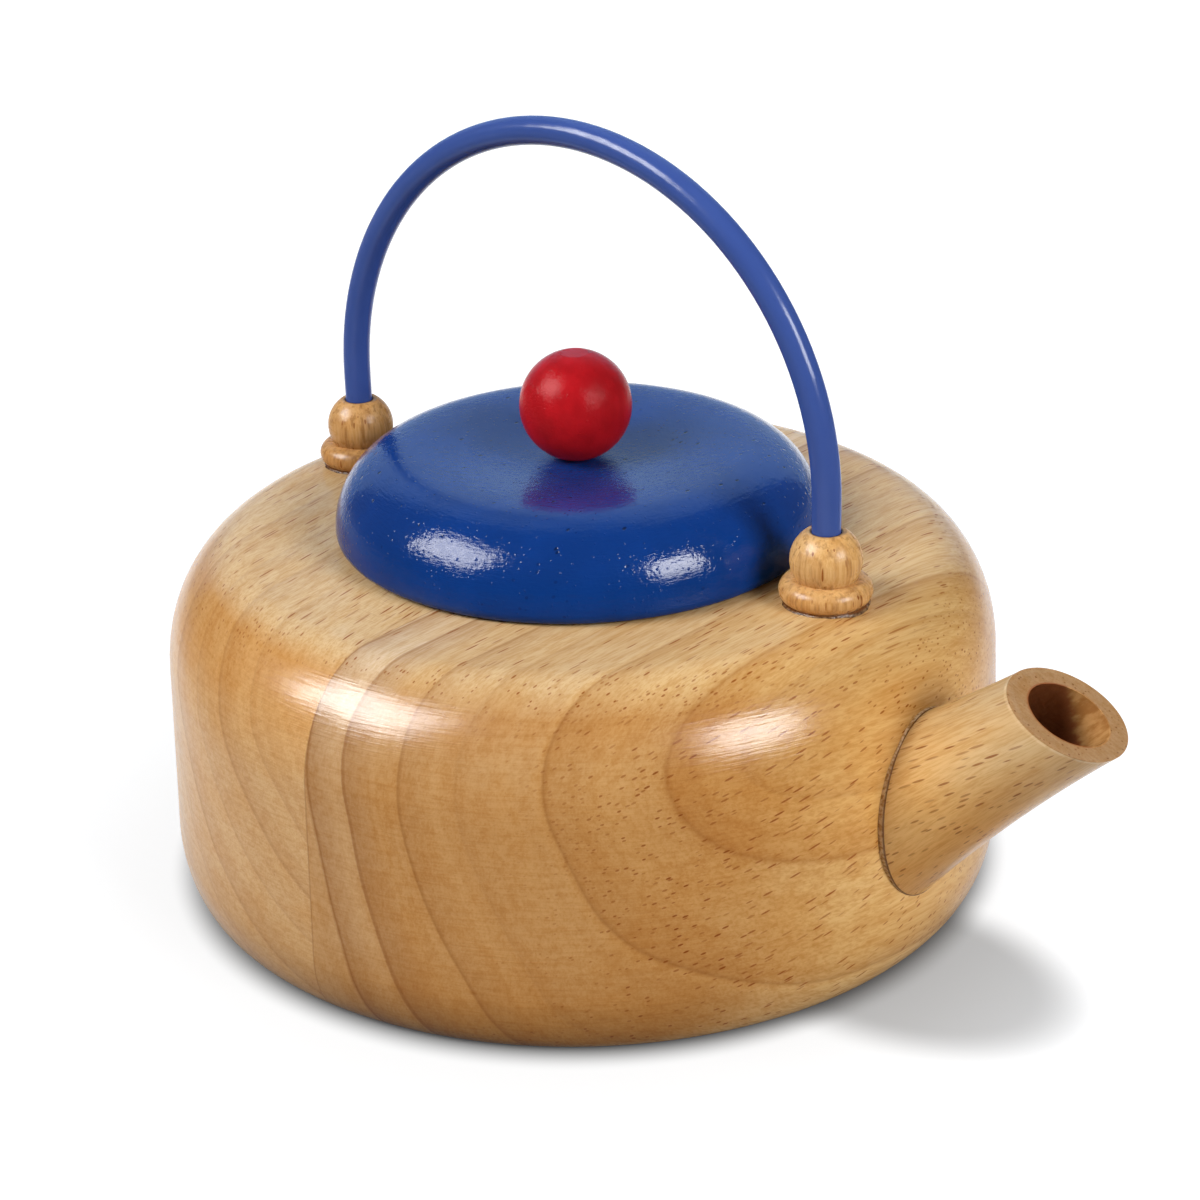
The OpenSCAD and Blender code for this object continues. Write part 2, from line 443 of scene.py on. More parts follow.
FERRULE_TIMBER = {
    "turn": (0, 0, 0),
    "squash": 1.0,
    "rings": ((26, 2, 0.3), (29, 2, 0.35), (32, 2, 0.3), (35, 2, 0.3)),
    "tones": ((0, colour(216, 172, 114)), (30, colour(218, 175, 117)), (60, colour(213, 168, 110))),
    "pores": (0.6, 9.0, 0.32),
    "pore_share": (20, 40, 0.5, 0.5),
    "pore_depth": (0.5, 0.9, 0.95, 0.2),
}

# The body's halves
END_FADE = (0.12, 0.6)
# Painted shade: the body is darkened towards the bottom, most on end grain
LOW_PAINTED_SHADE_TINT = (0.78, 0.68, 0.5, 1)
LOW_SHADE_FADE = (0.0, 18 * MM, 1.0, 0.0)
LOW_SHADE_ON_END_GRAIN = (0.6, 1.0, 0.1, 1.0)
BODY_BREAKS = 9
RIPPLE_FADE = (0.4, 0.7, 0.0, 0.5)
RIPPLE_SIDES = (0.6, 0.9, 1.0, 0.0)
SEAM_FADE = (0.05 * MM, 0.22 * MM, 0.35, 0.0)
SHOULDER_START = (0.1, 0.4)
SHOULDER_END = (0.75, 0.97, 1.0, 0.0)
BODY_INDEX = 1.19
SHOULDER_INDEX_RISE = 0.11


def body_wood(name, timber):
    """A half of the body, with painted shade towards the bottom, side-grain walls made lighter as painted
    light, and the thin dark glue line at the seam.
    """
    shader, tone, pores, _ = wood(name, timber)
    x, _, z = shader.axes(shader.place)
    upward = shader.upward()
    end = shader.fade(end_grain(shader, timber["turn"]), *END_FADE)
    side_painted_light = shader.ramp(upward, timber["side_painted_light_tints"])
    end_tint = shader.ramp(upward, timber["end_tints"])
    tone = shader.tint(tone, shader.mix(end, side_painted_light, end_tint))
    # painted shade towards the bottom
    low = shader.times(shader.fade(z, *LOW_SHADE_FADE), shader.fade(end, *LOW_SHADE_ON_END_GRAIN))
    tone = shader.tint(tone, LOW_PAINTED_SHADE_TINT, low)
    marks = turning_marks(shader, BODY_BREAKS)
    ripples = shader.times(shader.fade(marks, *RIPPLE_FADE), shader.fade(upward, *RIPPLE_SIDES))
    tone = shader.tint(tone, STREAK_TINT, ripples)
    from_seam = shader.math("ABSOLUTE", shader.math("SUBTRACT", x, SEAM_X * MM))
    tone = shader.mix(shader.fade(from_seam, *SEAM_FADE), tone, BROWN)
    shoulder = shader.times(shader.fade(upward, *SHOULDER_START), shader.fade(upward, *SHOULDER_END))
    index = shader.math("MULTIPLY_ADD", shoulder, SHOULDER_INDEX_RISE, BODY_INDEX)
    return lacquer(shader, tone, pores, marks, index)


# The spout's outside, with painted shade on top and painted light underneath by how far it faces up, and
# its mouth, by the distance from the cut face
SPOUT_SHADED_TOP = (0.2, 0.9)
SPOUT_TOP_PAINTED_SHADE = (0.76, 0.79, 0.86, 1)
SPOUT_LIT_BELOW = (-0.5, 0.0, 1.0, 0.0)
SPOUT_BELOW_PAINTED_LIGHT = (1.08, 0.95, 0.8, 1)
SPOUT_MARK_CELL = (0.6, 0.6, 3)
MOUTH_FADE = (-0.25 * MM, -0.05 * MM)
SAW_CELL = (3, 0.4, 3)
SAW_TINTS = ((0.58, 0.45, 0.35, 1), (0.84, 0.68, 0.56, 1))
# A painted highlight along the mouth's outer rim, broken by noise
RIM_HIGHLIGHT_START = (-0.7 * MM, -0.4 * MM)
RIM_HIGHLIGHT_END = (-0.25 * MM, -0.1 * MM, 0.55, 0.0)
RIM_HIGHLIGHT_CELL = (1.6, 1.6, 1.6)
RIM_HIGHLIGHT_BREAKS = (0.4, 0.6, 0.3, 1.0)
RIM_PAINTED_HIGHLIGHT = colour(238, 210, 168)

# The bore's lacquer, with painted shade on the side turned from the light and at the bore's end, which is
# also dull
BORE_FADE = (BORE_R + 0.05, BORE_R + 0.3, 1.0, 0.0)
BORE_LIT_SIDE = Vector((0.705, 0.692, 0.158))
DRIP_CELL = (1.1, 1.1, 3)
DRIP_FADE = (0.35, 0.65)
BORE_LACQUER_TONES = (colour(158, 106, 56), colour(190, 140, 84))
BORE_PAINTED_SHADE = (colour(136, 76, 42), colour(158, 98, 58))
SHADE_EDGE_WAVE = 1.6
BORE_SHADE_FADE = (1.8 * MM, 2.8 * MM, 1.0, 0.0)
BORE_END_FADE = (-14 * MM, -9 * MM, 1.0, 0.0)
BORE_END_PAINTED_SHADE = colour(84, 44, 20)
BLOB_CELL = (0.7, 0.7, 0.7)
BLOB_HEIGHT = 2.0
SPOUT_INDEX = 1.22
BORE_END_INDEX = 1.03


def mouth_tone(shader, tone, place, from_mouth):
    """The spout's tone, browner and lined on the sawn mouth, with a painted highlight along the outer rim,
    broken by noise.
    """
    saw_lines = shader.noise(shader.stretch(place, SAW_CELL), detail=3.0)
    tone = shader.tint(tone, shader.mix(saw_lines, *SAW_TINTS), shader.fade(from_mouth, *MOUTH_FADE))
    highlight_breaks = shader.fade(shader.noise(shader.stretch(place, RIM_HIGHLIGHT_CELL)), *RIM_HIGHLIGHT_BREAKS)
    # painted highlight along the outer rim
    rim = shader.times(shader.fade(from_mouth, *RIM_HIGHLIGHT_START), shader.fade(from_mouth, *RIM_HIGHLIGHT_END), highlight_breaks)
    return shader.mix(rim, tone, RIM_PAINTED_HIGHLIGHT)


def bore_tone(shader, place, from_middle):
    """Lacquer drips inside the bore, with painted shade on the side turned from the light beyond a wavy
    edge.
    """
    drips = shader.noise(shader.stretch(place, DRIP_CELL), detail=3.0)
    clear = shader.mix(shader.fade(drips, *DRIP_FADE), *BORE_LACQUER_TONES)
    bore_shade = shader.mix(drips, *BORE_PAINTED_SHADE)
    aside = shader.dot(from_middle, BORE_LIT_SIDE)
    wavy = shader.math("MULTIPLY_ADD", drips, SHADE_EDGE_WAVE * MM, aside)
    return shader.mix(shader.fade(wavy, *BORE_SHADE_FADE), clear, bore_shade)


def spout_wood():
    """The spout, browner on its cut mouth, with painted shade on top, painted light underneath, and painted
    shade inside the bore.
    """
    shader, tone, pores, place = wood("spout_wood", SPOUT_TIMBER)
    upward = shader.upward()
    # painted shade on the spout's top and painted light on its underside
    facing_light_tint = shader.mix(shader.fade(upward, *SPOUT_SHADED_TOP), WHITE, SPOUT_TOP_PAINTED_SHADE)
    facing_light_tint = shader.mix(shader.fade(upward, *SPOUT_LIT_BELOW), facing_light_tint, SPOUT_BELOW_PAINTED_LIGHT)
    tone = shader.tint(tone, facing_light_tint)
    from_middle = shader.vector("SUBTRACT", shader.place, MOUTH_MIDDLE * MM)
    from_mouth = shader.dot(from_middle, MOUTH_FACE)
    tone = mouth_tone(shader, tone, place, from_mouth)
    in_bore = shader.fade(shader.off_axis(place), *BORE_FADE)
    tone = shader.mix(in_bore, tone, bore_tone(shader, place, from_middle))
    # painted shade at the bore's end
    at_end = shader.times(in_bore, shader.fade(from_mouth, *BORE_END_FADE))
    tone = shader.mix(at_end, tone, BORE_END_PAINTED_SHADE)
    marks = shader.noise(shader.stretch(place, SPOUT_MARK_CELL), detail=3.0)
    blobs = shader.noise(shader.stretch(place, BLOB_CELL))
    marks = shader.mix(in_bore, marks, shader.times(blobs, BLOB_HEIGHT))
    index = shader.fade(at_end, 0.0, 1.0, SPOUT_INDEX, BORE_END_INDEX)
    return lacquer(shader, tone, pores, marks, index)


# The ferrules
FERRULE_PITH = (3, -30)
FERRULE_STREAK_CELL = (0.7, 0.7, 9)
FERRULE_STREAKS = (0.48, 0.66, 0.0, 0.45)
FERRULE_MARK_CELL = (1.5, 1.5, 0.5)
FERRULE_INDEX = 1.2
FERRULE_ROUGH = 0.26
FLANGE_TOP = BODY_H + FLANGE_H
FLANGE_FADE = ((FLANGE_TOP - 1) * MM, (FLANGE_TOP + 0.5) * MM, 1.0, 0.0)
FLANGE_TINT = (0.9, 0.85, 0.8, 1)
REAR_SHADE = (0.87, 0.82, 0.78, 1)
# Painted shade: the wood darkens in a ring where the sleeve goes into the bead
SLEEVE_GAP_SHADE_FADE = ((SLEEVE_R + 0.1) * MM, (SLEEVE_R + 0.45) * MM, 0.9, 0.0)
SLEEVE_GAP_PAINTED_SHADE = colour(58, 34, 18)


def ferrule_wood(name, side, shade):
    """One turned ferrule, with upright fibres and painted shade in the gap around the sleeve; the side is
    +1 at the front and -1 at the rear.
    """
    pith_out, pith_y = FERRULE_PITH
    timber = dict(FERRULE_TIMBER, pith=(side * (HANDLE_R + pith_out), pith_y, BODY_H))
    shader, tone, pores, place = wood(name, timber)
    streaks = shader.noise(shader.stretch(place, FERRULE_STREAK_CELL), detail=3.0)
    tone = shader.mix(shader.fade(streaks, *FERRULE_STREAKS), tone, BROWN)
    tone = shader.tint(tone, shade)
    height = shader.axes(shader.place)[2]
    tone = shader.tint(tone, FLANGE_TINT, shader.fade(height, *FLANGE_FADE))
    from_leg = shader.vector("SUBTRACT", shader.place, Vector((side * HANDLE_R, 0, 0)) * MM)
    # painted shade in the gap around the sleeve
    tone = shader.mix(shader.fade(shader.off_axis(from_leg), *SLEEVE_GAP_SHADE_FADE), tone, SLEEVE_GAP_PAINTED_SHADE)
    marks = shader.noise(shader.stretch(place, FERRULE_MARK_CELL))
    return lacquer(shader, tone, pores, marks, FERRULE_INDEX, FERRULE_ROUGH)


# Gloss paint: each kind of speck is kept by one channel of its random colour
NIBS = {
    "cell": (0.85, 0.85, 0.85),
    "channel": 0,
    "kept": (0.6, 0.65, 1.0, 0.0),
    "edge": (0.02, 0.26, 1.0, 0.0),
}
PITS = {
    "cell": (1.5, 2.6, 1.5),
    "channel": 1,
    "kept": (0.32, 0.36, 1.0, 0.0),
    "edge": (0.09, 0.19, 1.0, 0.0),
}
PITS_ON_SIDES = (0.5, 0.9, 0.35, 1.0)
PIT_DEPTH = 0.08
PEEL_ROUGH = 0.05
PAINT_BREAKS = 16
PAINT_TOP = (0.1, 0.6)

LID_PAINT = {
    "tone": colour(8, 51, 120),
    "patch_cell": (7, 7, 7),
    "patches": 0.12,
    "peel_cell": (0.9, 0.9, 0.9),
    "peel": 0.05,
    "ridges": 0.05,
    "nibs": 0.05,
    "pits": 0.75,
    "rough": 0.045,
    "indices": (1.22, 1.42),
}

KNOB_PAINT = {
    "tone": colour(181, 24, 31),
    "patch_cell": (2.4, 2.4, 4),
    "patches": 0.2,
    "peel_cell": (0.34, 0.34, 0.34),
    "peel": 0.1,
    "ridges": 0.03,
    "nibs": 0.05,
    "pits": 0.0,
    "rough": 0.08,
    "indices": (1.11, 1.16),
}


def specks(shader, place, cell, channel, kept, edge):
    """Scattered round specks, of which some are kept."""
    distance, chance = shader.cells(shader.stretch(place, cell))
    return shader.times(shader.fade(distance, *edge), shader.fade(shader.axes(chance)[channel], *kept))


def gloss_paint(name, paint):
    """Brushed gloss paint: orange peel, circling ridges, dust nibs and open pores."""
    shader = Shader(name)
    place = shader.millimetres()
    upward = shader.upward()
    peel = shader.noise(shader.stretch(place, paint["peel_cell"]))
    patches = shader.noise(shader.stretch(place, paint["patch_cell"]), detail=3.0)
    nibs = specks(shader, place, **NIBS)
    pits = shader.times(specks(shader, place, **PITS), shader.fade(upward, *PITS_ON_SIDES))
    tone = shader.mix(shader.fade(patches, *NOISE_SPAN, 0.0, paint["patches"]), paint["tone"], BLACK)
    tone = shader.mix(shader.times(pits, paint["pits"]), tone, BLACK)
    normal = shader.bump(peel, paint["peel"])
    normal = shader.bump(turning_marks(shader, PAINT_BREAKS), paint["ridges"], normal)
    normal = shader.bump(nibs, paint["nibs"], normal)
    normal = shader.bump(shader.math("SUBTRACT", 1.0, pits), paint["pits"] * PIT_DEPTH, normal)
    rough = shader.fade(peel, *NOISE_SPAN, paint["rough"], paint["rough"] + PEEL_ROUGH)
    index = shader.fade(upward, *PAINT_TOP, *paint["indices"])
    return shader.finish(Base_Color=tone, Roughness=rough, Normal=normal, IOR=index)


# Plastic, steel and glue
SLEEVE_BLUES = (colour(52, 75, 143), colour(62, 85, 150))
SLEEVE_CLOUD_CELL = (9, 9, 9)
SLEEVE_SKIN_CELL = (1.6, 1.6, 1.6)
SLEEVE_SKIN_DEPTH = 0.02
SLEEVE_ROUGH = (0.12, 0.19)
SLEEVE_INDEX = 1.29
STEEL_GREYS = (colour(150, 150, 154), colour(190, 190, 194))
SCRATCH_CELL = (0.2, 0.2, 3)
SCRATCH_DEPTH = 0.01
STEEL_ROUGH = (0.25, 0.4)
SPOUT_GLUE_TONES = (colour(172, 124, 72), colour(222, 188, 142))
# The ferrule glue is toned darker than the spout glue, as painted shade under the flanges
FERRULE_GLUE_SHADE_TONES = (colour(70, 46, 28), colour(126, 96, 66))
# Painted shade along the glue's inner edge, in the gap next to the part it holds
GLUE_EDGE_PAINTED_SHADE = colour(104, 62, 30)
GLUE_EDGE_SHADE_FADE = (0.3, 0.6, 0.9, 0.0)
LUMP_CELL = (0.5, 0.5, 0.5)
LUMP_FADE = (0.35, 0.65)
LUMP_DEPTH = 0.15
GLUE_ROUGH = (0.08, 0.25)
GLUE_INDEX = 1.25


def plastic_sleeve():
    """Glossy vinyl tube, a little cloudy, with a slightly uneven skin."""
    shader = Shader("sleeve_plastic")
    place = shader.millimetres()
    cloud = shader.noise(shader.stretch(place, SLEEVE_CLOUD_CELL), detail=3.0)
    tone = shader.mix(cloud, *SLEEVE_BLUES)
    skin = shader.noise(shader.stretch(place, SLEEVE_SKIN_CELL))
    rough = shader.fade(skin, *NOISE_SPAN, *SLEEVE_ROUGH)
    normal = shader.bump(skin, SLEEVE_SKIN_DEPTH)
    return shader.finish(Base_Color=tone, Roughness=rough, Normal=normal, IOR=SLEEVE_INDEX)


def bright_wire():
    """Drawn steel wire with fine upright scratches."""
    shader = Shader("wire_steel")
    scratches = shader.noise(shader.stretch(shader.millimetres(), SCRATCH_CELL), detail=3.0)
    tone = shader.mix(scratches, *STEEL_GREYS)
    rough = shader.fade(scratches, *NOISE_SPAN, *STEEL_ROUGH)
    normal = shader.bump(scratches, SCRATCH_DEPTH)
    return shader.finish(Base_Color=tone, Metallic=1.0, Roughness=rough, Normal=normal)


def dried_glue(name, tones):
    """Squeezed-out glue: glossy and lumpy, with painted shade along its inner edge."""
    shader = Shader(name)
    lumps = shader.noise(shader.stretch(shader.millimetres(), LUMP_CELL), detail=3.0)
    across = shader.node("ShaderNodeAttribute", attribute_name="across").outputs["Fac"]
    tone = shader.mix(shader.fade(lumps, *LUMP_FADE), *tones)
    # painted shade along the inner edge
    tone = shader.mix(shader.fade(across, *GLUE_EDGE_SHADE_FADE), tone, GLUE_EDGE_PAINTED_SHADE)
    rough = shader.fade(lumps, *NOISE_SPAN, *GLUE_ROUGH)
    normal = shader.bump(lumps, LUMP_DEPTH)
    return shader.finish(Base_Color=tone, Roughness=rough, Normal=normal, IOR=GLUE_INDEX)


# Smoothing of the solids' meshes
SHARP_ANGLE = math.radians(35)
WELD_REACH = 0.002
RIM_SEGMENTS = 3
SPOUT_RIM = 0.6


def dress(node, material, rim=0.0):
    """Puts one material on a CAD node, rounds its sharp rims by a width, and smooths its shading."""
    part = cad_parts[node]
    part.data.materials.clear()
    part.data.materials.append(material)
    weld = part.modifiers.new("weld", "WELD")
    weld.merge_threshold = WELD_REACH * MM
    if rim:
        bevel = part.modifiers.new("rims", "BEVEL")
        bevel.width = rim * MM
        bevel.segments = RIM_SEGMENTS
        bevel.limit_method = "ANGLE"
        bevel.angle_limit = SHARP_ANGLE
    split = part.modifiers.new("edges", "EDGE_SPLIT")
    split.split_angle = SHARP_ANGLE
    split.use_edge_sharp = False
    part.modifiers.new("shading", "WEIGHTED_NORMAL")


def add_object(name, data):
    """A new object in the scene."""
    made = bpy.data.objects.new(name, data)
    bpy.context.scene.collection.objects.link(made)
    return made


def sheet(name, rows, material, closed=False):
    """A smooth surface through rows of points in metres, with each point's share of its row as across."""
    mesh = bmesh.new()
    layer = mesh.verts.layers.float.new("across")
    grid = []
    for row in rows:
        made = [mesh.verts.new(point) for point in row]
        for index, vertex in enumerate(made):
            vertex[layer] = index / (len(row) - 1)
        grid.append(made)
    following_rows = grid[1:] + grid[:1] if closed else grid[1:]
    for row, following in zip(grid, following_rows):
        for index in range(len(row) - 1):
            corners = (row[index], row[index + 1], following[index + 1], following[index])
            mesh.faces.new(corners).smooth = True
    if closed:
        bmesh.ops.recalc_face_normals(mesh, faces=mesh.faces)
    data = bpy.data.meshes.new(name)
    mesh.to_mesh(data)
    mesh.free()
    data.materials.append(material)
    return add_object(name, data)


# Rings of squeezed-out glue: a pair is the least amount and what is added where there is most glue
LUMP_WAVES = ((3, 1.0), (7, 0.7), (13, 0.5), (23, 0.35))
FOOT_HALVINGS = 40
SPOUT_RING_STEPS = 180
SPOUT_RING_BOW = 6
SPOUT_RING_SEED = 1.3
SPOUT_RING_CLIMB = (0.05, 0.07)
SPOUT_RING_SPREAD = (0.03, 0.22)
SPOUT_RING_SWELL = 0.1
SPOUT_RING_SINK = 0.05
FERRULE_RING_STEPS = 120
FERRULE_RING_BOW = 5
FERRULE_RING_SEEDS = {1: 0.4, -1: 2.1}
FERRULE_RING_START = 0.55
FERRULE_RING_EDGE = (-0.6, 0.4)
FERRULE_RING_CORNER = (-0.75, 0.5)
FERRULE_RING_SWELL = 0.1
FERRULE_RING_CLIMB = 0.05
FERRULE_RING_SINK = 0.04


def body_radius(z):
    """The body's outside radius at a height, in millimetres."""
    if z <= SIDE_TOP:
        return BODY_R + (SIDE_TOP - z) * SIDE_SLOPE
    share = (z - SIDE_TOP) / SHOULDER_H
    return BODY_R - SHOULDER_W + SHOULDER_W * math.sqrt(max(0, 1 - share * share))


def body_height(out):
    """The height of the body's top surface at a distance from its axis, in millimetres."""
    past = max(0, out - (BODY_R - SHOULDER_W)) / SHOULDER_W
    return SIDE_TOP + SHOULDER_H * math.sqrt(max(0, 1 - past * past))


def spout_wall(along, turn):
    """A point of the spout's outside, in millimetres, at a distance and a turn about its axis."""
    throat = MOUTH_R - FLARE_LEAD ** 2 / (2 * FLARE_R)
    out = throat + (SPOUT_LEN + FLARE_LEAD - along) ** 2 / (2 * FLARE_R)
    sideways = Vector((0, 1, 0))
    upward = SPOUT_AXIS.cross(sideways) * -1
    return SPOUT_FOOT + SPOUT_AXIS * along + (sideways * math.sin(turn) + upward * math.cos(turn)) * out


def foot_distance(turn):
    """How far along its axis the spout's wall meets the flat plane of its foot."""
    plane = Vector((1, 0, SIDE_SLOPE))
    low, high = -2 * FOOT_R, 2 * FOOT_R
    for _ in range(FOOT_HALVINGS):
        middle = (low + high) / 2
        if plane.dot(spout_wall(middle, turn) - SPOUT_FOOT) > 0:
            high = middle
        else:
            low = middle
    return low


def circle_turns(steps):
    """The turns of a full circle in even steps."""
    return [2 * math.pi * step / steps for step in range(steps)]


def arc_between(first, corner, last, steps):
    """Points of a smooth bow from first to last, pulled towards corner."""
    shares = [step / steps for step in range(steps + 1)]
    return [first * (1 - t) ** 2 + corner * (2 * t * (1 - t)) + last * t * t for t in shares]


def lumpiness(turn, seed):
    """A repeatable uneven share of 0 to 1 around a ring."""
    total = sum(weight * math.sin(count * turn + seed * count) for count, weight in LUMP_WAVES)
    return 0.5 + total / (2 * sum(weight for _, weight in LUMP_WAVES))


def amount_of(pair, share):
    """A pair's least amount with a share of what is added to it."""
    least, added = pair
    return least + added * share


def glue_ring(name, rows, material):
    """A closed ring of glue through rows of points in millimetres, each row running across the ring."""
    piece = sheet(name, [[point * MM for point in row] for row in rows], material, closed=True)
    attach(piece, "kettle")


def spout_glue(material):
    """Glue in the wedge between the spout's flat foot and the round body, most of it on one side."""
    rows = []
    for turn in circle_turns(SPOUT_RING_STEPS):
        foot = foot_distance(turn)
        most = (1 - math.sin(turn)) / 2
        upper = spout_wall(foot + amount_of(SPOUT_RING_CLIMB, most), turn)
        edge = spout_wall(foot, turn)
        outward = Vector((0, edge.y, edge.z - SPOUT_Z)).normalized()
        spread = edge + outward * amount_of(SPOUT_RING_SPREAD, most * lumpiness(turn, SPOUT_RING_SEED))
        away = Vector((spread.x, spread.y, 0)).normalized()
        lower = away * (body_radius(spread.z) - SPOUT_RING_SINK) + Vector((0, 0, spread.z))
        corner = (edge + spread) / 2 + outward * SPOUT_RING_SWELL
        rows.append(arc_between(upper, corner, lower, SPOUT_RING_BOW))
    glue_ring("spout_glue", rows, material)


def ferrule_glue(name, side, material):
    """A thin uneven ring of glue squeezed out under a ferrule's flange."""
    rows = []
    tube = FLANGE_H / 2
    core = FLANGE_R - tube
    start = core + FERRULE_RING_START * tube
    centre = Vector((side * HANDLE_R, 0, 0))
    for turn in circle_turns(FERRULE_RING_STEPS):
        lump = lumpiness(turn, FERRULE_RING_SEEDS[side])
        direction = Vector((math.cos(turn), math.sin(turn), 0))
        high = centre + direction * start
        high.z = BODY_H + tube - math.sqrt(tube ** 2 - (start - core) ** 2) + FERRULE_RING_CLIMB
        low = centre + direction * (FLANGE_R + amount_of(FERRULE_RING_EDGE, lump))
        low.z = body_height(low.length) - FERRULE_RING_SINK
        corner = centre + direction * (FLANGE_R + amount_of(FERRULE_RING_CORNER, lump))
        corner.z = (high.z + low.z) / 2 + FERRULE_RING_SWELL
        rows.append(arc_between(high, corner, low, FERRULE_RING_BOW))
    glue_ring(name, rows, material)


# The stage, with the floor's fades by nearness to the camera, by distance aside and by distance out, and a
# painted contact shadow and painted spout shadow on the floor
FLOOR_REACH = 6.0
PAPER_ROUGH = 0.9
STRIP_FRONT = (130 * MM, 350 * MM, 1.0, 0.0)
STRIP_BACK = (-900 * MM, -680 * MM)
STRIP_SIDE = (112 * MM, 170 * MM, 1.0, 0.0)
STRIP_TAPER = 0.25
STRIP_GREY = (0.29, 0.3, 0.31, 1)
FLOOR_GREY = (0.36, 0.36, 0.36, 1)
# Painted contact shade: the floor is darker grey near the body, which also throws less light back up onto
# it
CONTACT_SHADE_GREY = (0.12, 0.12, 0.12, 1)
CONTACT_SHADE_REACH = (60 * MM, 110 * MM)
# Painted shadows: the floor's own light is left out around the body and under the spout
CONTACT_SHADOW_FADE = (56.4 * MM, 63.2 * MM)
GLOW_FROM_LEFT = (30 * MM, 70 * MM, 0.85, 0.95)
SPOUT_PAINTED_SHADOW = Vector((57, -3, 0)) * MM
SPOUT_PAINTED_SHADOW_SIZE = (28 * MM, 17 * MM, 1)
SPOUT_PAINTED_SHADOW_FADE = (0.75, 1.25, 0.45, 1.0)
SCREEN_TONE = (0.41, 0.57, 0.8)
SCREEN_GRAIN = 0.01
SCREEN_GRAIN_CELL = (0.4, 0.4, 0.4)
SCREEN_DISTANCE = 1.4
SCREEN_HEIGHT = 5.0
SCREEN_HALF_SPAN = math.radians(38)
SCREEN_COLUMNS = 48


def screen_paper():
    """Matt pale blue paper, all but even in tone."""
    shader = Shader("screen_paper")
    blotches = shader.noise(shader.stretch(shader.place, SCREEN_GRAIN_CELL))
    paler = [value + SCREEN_GRAIN for value in SCREEN_TONE]
    tone = shader.mix(blotches, (*SCREEN_TONE, 1), (*paler, 1))
    return shader.finish(Base_Color=tone, Roughness=PAPER_ROUGH, Specular_IOR_Level=0.0)


def floor_paper():
    """A strip of white paper with its own light away from the object, on a grey floor, with painted shadows
    of the body and the spout where that light is left out, and painted shade in a darker grey near the
    body.
    """
    shader = Shader("floor_paper")
    right, _, back = view_axes()
    nearness = shader.dot(shader.place, Vector((back.x, back.y, 0)).normalized())
    sideways = shader.dot(shader.place, Vector((right.x, right.y, 0)).normalized())
    aside = shader.math("MULTIPLY_ADD", nearness, STRIP_TAPER, shader.math("ABSOLUTE", sideways))
    front_end = shader.fade(nearness, *STRIP_FRONT)
    back_end = shader.fade(nearness, *STRIP_BACK)
    strip = shader.times(front_end, shader.fade(aside, *STRIP_SIDE), back_end)
    out = shader.length(shader.place)
    tone = shader.mix(strip, FLOOR_GREY, STRIP_GREY)
    # painted contact shade near the body
    tone = shader.mix(shader.fade(out, *CONTACT_SHADE_REACH), CONTACT_SHADE_GREY, tone)
    shader.finish(Base_Color=tone, Roughness=PAPER_ROUGH, Specular_IOR_Level=0.0)
    path = shader.node("ShaderNodeLightPath").outputs
    seen = shader.math("MAXIMUM", path["Is Camera Ray"], path["Is Glossy Ray"])
    seen = shader.math("MAXIMUM", seen, path["Is Transmission Ray"])
    # painted contact shadow and painted spout shadow, where the floor does not glow
    past_contact_shadow = shader.fade(out, *CONTACT_SHADOW_FADE)
    from_spout = shader.stretch(shader.vector("SUBTRACT", shader.place, SPOUT_PAINTED_SHADOW), SPOUT_PAINTED_SHADOW_SIZE)
    past_spout_shadow = shader.fade(shader.length(from_spout), *SPOUT_PAINTED_SHADOW_FADE)
    level = shader.times(shader.fade(sideways, *GLOW_FROM_LEFT), strip, past_contact_shadow, past_spout_shadow, seen)
    glow = shader.node("ShaderNodeEmission", {"Color": WHITE, "Strength": level})
    total = shader.node("ShaderNodeAddShader", {0: shader.surface.outputs[0], 1: glow.outputs[0]})
    shader.put(shader.tree.nodes["Material Output"].inputs["Surface"], total.outputs[0])
    return shader.material


def make_floor():
    """A wide floor under the object."""
    ends = (-FLOOR_REACH, FLOOR_REACH)
    piece = sheet("floor", [[Vector((x, y, 0)) for x in ends] for y in ends], floor_paper())


def make_screen():
    """A pale screen around the far side, which the gloss reflects."""
    behind = Vector((-math.sin(VIEW_TURN), math.cos(VIEW_TURN), 0)) * SCREEN_DISTANCE
    shares = [2 * column / SCREEN_COLUMNS - 1 for column in range(SCREEN_COLUMNS + 1)]
    foot = [Matrix.Rotation(SCREEN_HALF_SPAN * share, 3, "Z") @ behind for share in shares]
    top = [point + Vector((0, 0, SCREEN_HEIGHT)) for point in foot]
    piece = sheet("screen", [foot, top], screen_paper())
    piece.visible_shadow = False


def make_camera():
    """The photograph's camera."""
    right, up, back = view_axes()
    data = bpy.data.cameras.new("camera")
    data.lens = LENS
    data.sensor_width = SENSOR_WIDTH
    data.clip_start = CLIP_START
    camera = add_object("camera", data)
    turn = Matrix((right, up, back)).transposed().to_4x4()
    camera.matrix_world = Matrix.Translation(VIEW_AIM + back * VIEW_DISTANCE) @ turn
    bpy.context.scene.camera = camera


LAMP_DISTANCE = 5.0
ROOM_LIGHT = 0.12


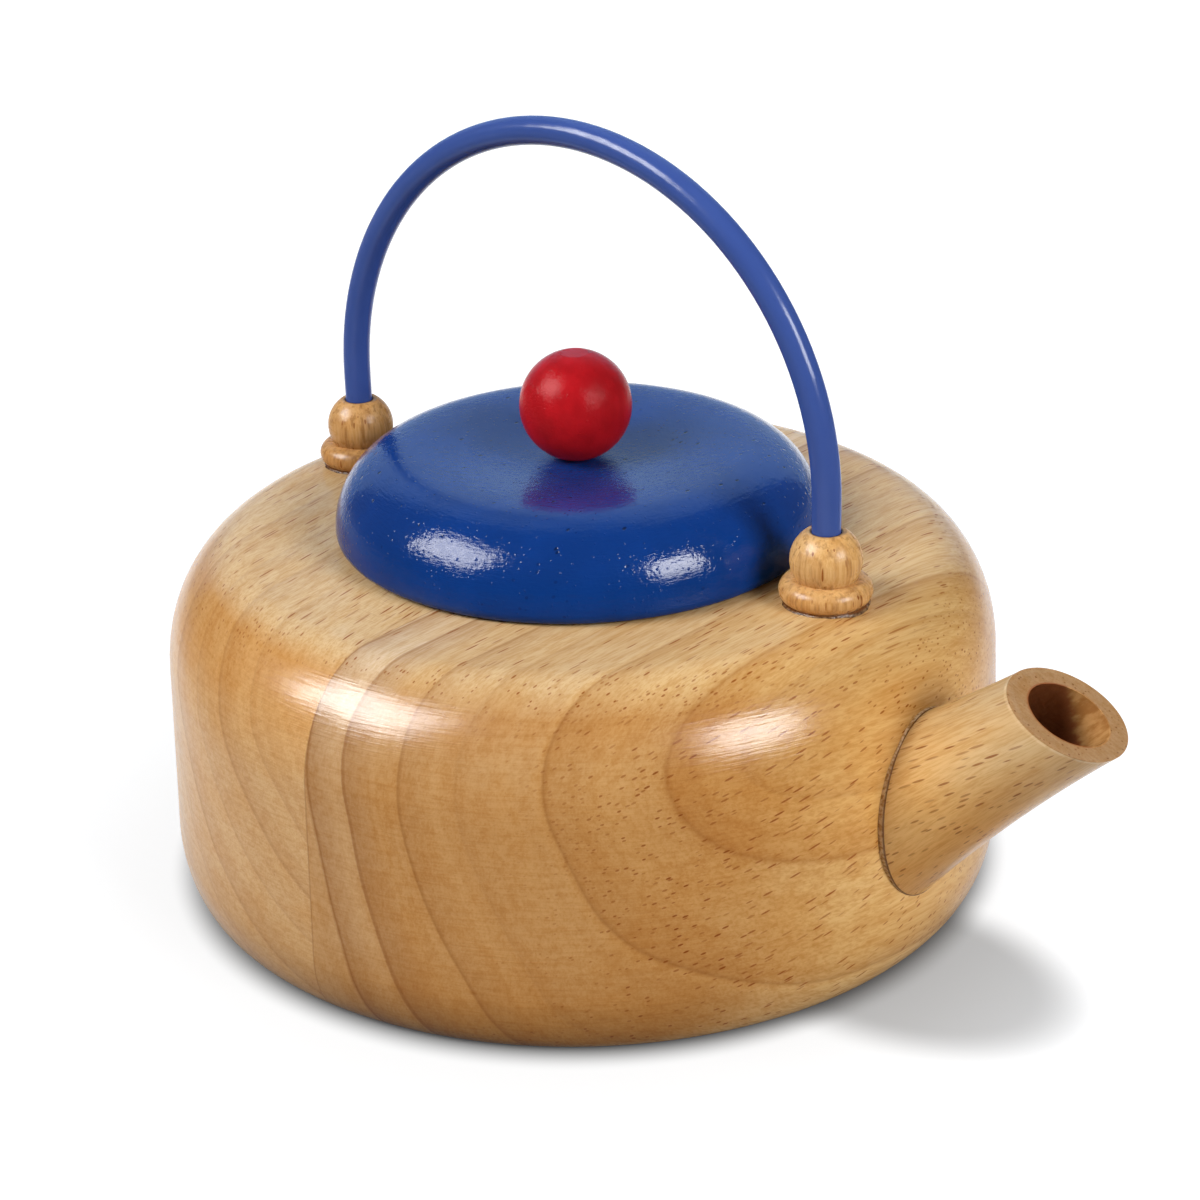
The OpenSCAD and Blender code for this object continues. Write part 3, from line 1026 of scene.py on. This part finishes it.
def make_softbox(name, direction, width, height, power, sheen):
    """A soft lamp in a direction along the camera's right, up and back, with extra power for highlights."""
    right, up, back = view_axes()
    towards = (right * direction[0] + up * direction[1] + back * direction[2]).normalized()
    turn = towards.to_track_quat("Z", "Y").to_matrix().to_4x4()
    for label, watts in ((name, power), (name + "_sheen", sheen)):
        data = bpy.data.lights.new(label, "AREA")
        data.shape = "RECTANGLE"
        data.size = width
        data.size_y = height
        data.energy = watts
        lamp = add_object(label, data)
        lamp.matrix_world = Matrix.Translation(VIEW_AIM + towards * LAMP_DISTANCE) @ turn
        lamp.visible_camera = False
        lamp.visible_diffuse = watts == power


def make_world():
    """Even soft room light."""
    world = bpy.data.worlds.new("room")
    world.use_nodes = True
    background = world.node_tree.nodes["Background"]
    background.inputs["Color"].default_value = WHITE
    background.inputs["Strength"].default_value = ROOM_LIGHT
    bpy.context.scene.world = world


dress("body_front_half", body_wood("front_half_wood", FRONT_TIMBER))
dress("body_rear_half", body_wood("rear_half_wood", REAR_TIMBER))
dress("spout", spout_wood(), rim=SPOUT_RIM)
dress("front_ferrule", ferrule_wood("front_ferrule_wood", 1, WHITE))
dress("rear_ferrule", ferrule_wood("rear_ferrule_wood", -1, REAR_SHADE))
dress("handle_sleeve", plastic_sleeve())
dress("handle_wire", bright_wire())
dress("lid", gloss_paint("lid_paint", LID_PAINT))
red_paint = gloss_paint("knob_paint", KNOB_PAINT)
dress("knob", red_paint)
dress("knob_dowel", red_paint)

spout_glue(dried_glue("spout_glue", SPOUT_GLUE_TONES))
# darker glue tones: painted shade under the flanges
shaded_ferrule_glue = dried_glue("ferrule_glue", FERRULE_GLUE_SHADE_TONES)
ferrule_glue("front_ferrule_glue", 1, shaded_ferrule_glue)
ferrule_glue("rear_ferrule_glue", -1, shaded_ferrule_glue)

make_floor()
make_screen()
make_camera()
make_softbox("softbox_left", (-0.74, 0.48, 0.46), width=3.0, height=2.4, power=247, sheen=1000)
make_softbox("softbox_right", (0.65, 0.2, 0.73), width=2.0, height=2.0, power=210, sheen=400)
make_world()
bpy.context.scene.view_settings.view_transform = "Standard"
